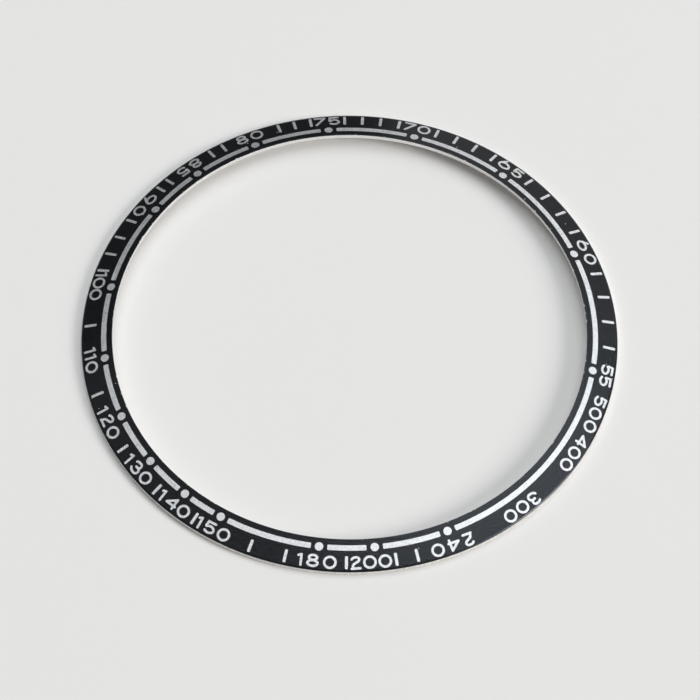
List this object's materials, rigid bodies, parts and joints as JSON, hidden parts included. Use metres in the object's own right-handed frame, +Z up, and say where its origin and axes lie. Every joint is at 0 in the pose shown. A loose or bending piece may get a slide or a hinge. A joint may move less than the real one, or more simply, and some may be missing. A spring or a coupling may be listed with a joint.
{
  "type": "watch bezel insert",
  "caption": "Coned aluminium insert ring for a chronograph watch bezel, black on its face, with a silver tachymeter track of bars, dots and unit ticks.",
  "frame": {"origin": "on the ring's axis, in the plane that the rim's lower edge rests on", "axes": "+Z up along the ring's axis, out of the watch; +Y from the centre towards the value 60 of the scale; +X towards the value 240"},
  "size_m": [0.039, 0.039, 0.0012],
  "materials": {
    "bare_aluminium": "satin, with upright walls turned bright",
    "black_anodised": "black anodised, satin",
    "silver_marks": "satin, fine grained"
  },
  "bodies": {
    "root": {"insert_ring": "bare_aluminium", "black_face": "black_anodised", "bar_60_to_55": "silver_marks", "bar_55_to_240": "silver_marks", "bar_240_to_200": "silver_marks", "bar_200_to_180": "silver_marks", "bar_180_to_150": "silver_marks", "bar_150_to_140": "silver_marks", "bar_140_to_130": "silver_marks", "bar_130_to_120": "silver_marks", "bar_120_to_110": "silver_marks", "bar_110_to_100": "silver_marks", "bar_100_to_90": "silver_marks", "bar_90_to_85": "silver_marks", "bar_85_to_80": "silver_marks", "bar_80_to_75": "silver_marks", "bar_75_to_70": "silver_marks", "bar_70_to_65": "silver_marks", "bar_65_to_60": "silver_marks", "track_dots": "silver_marks", "unit_ticks": "silver_marks"}
  },
  "joints": []
}
